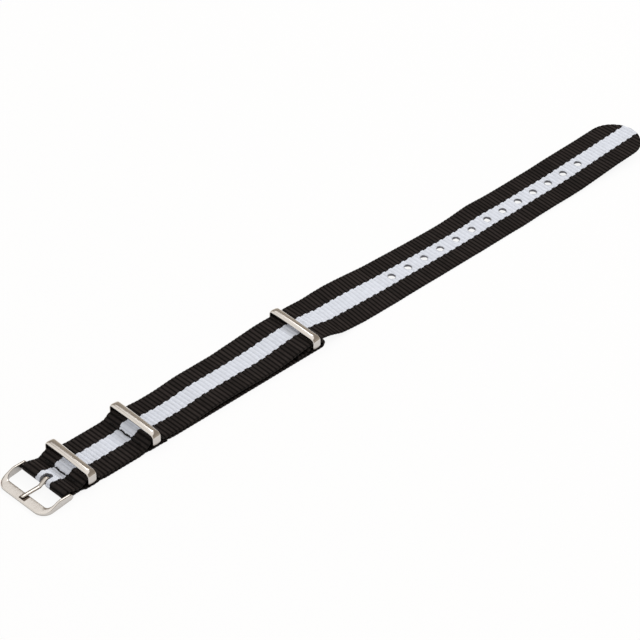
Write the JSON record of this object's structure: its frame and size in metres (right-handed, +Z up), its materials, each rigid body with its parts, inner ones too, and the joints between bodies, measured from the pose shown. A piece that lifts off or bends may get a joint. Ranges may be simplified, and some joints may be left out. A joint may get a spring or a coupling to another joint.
{
  "type": "nylon watch strap",
  "caption": "Flat pass-through watch strap of striped ribbed webbing with a rounded tip, adjustment holes, a curved-arm pin buckle and rectangular metal keepers.",
  "frame": {"origin": "on the side towards the wrist, on the middle line, below the middle of the stretch that the watch case rests on", "axes": "+X along the strap from the buckle to the rounded tip, +Y across the webbing, +Z up towards the watch case"},
  "size_m": [0.2751, 0.022, 0.0063],
  "materials": {
    "webbing": "ribbed woven nylon with a white middle stripe",
    "nickel": "polished nickel-plated steel",
    "pin_steel": "drawn steel wire",
    "thread": "twisted polyester thread"
  },
  "bodies": {
    "webbing": {"main_strap": "webbing", "keeper_flap": "webbing", "stitch_row_1": "thread", "stitch_row_2": "thread", "stitch_row_3": "thread", "stitch_row_4": "thread", "stitch_row_5": "thread"},
    "buckle": {"buckle_frame": "nickel", "buckle_pin": "pin_steel"},
    "tongue": {"buckle_tongue": "nickel"},
    "first_ring": {"first_keeper": "nickel"},
    "second_ring": {"second_keeper": "nickel"},
    "third_ring": {"flap_keeper": "nickel"}
  },
  "joints": [
    {"name": "buckle_swing", "type": "hinge", "parent": "webbing", "child": "buckle", "pos_m": [-0.067, 0, 0.0019], "axis": [0, 1, 0], "range_deg": [-40, 35]},
    {"name": "tongue_swing", "type": "hinge", "parent": "buckle", "child": "tongue", "pos_m": [-0.067, 0, 0.0019], "axis": [0, 1, 0], "range_deg": [0, 100]},
    {"name": "first_ring_rock", "type": "hinge", "parent": "webbing", "child": "first_ring", "pos_m": [-0.0579, 0, 0.00152], "axis": [0, 1, 0], "range_deg": [-18, 18]},
    {"name": "second_ring_rock", "type": "hinge", "parent": "webbing", "child": "second_ring", "pos_m": [-0.0326, 0, 0.00152], "axis": [0, 1, 0], "range_deg": [-18, 18]},
    {"name": "third_ring_rock", "type": "hinge", "parent": "webbing", "child": "third_ring", "pos_m": [0.0344, 0, 0.00152], "axis": [0, 1, 0], "range_deg": [-9, 9]}
  ]
}
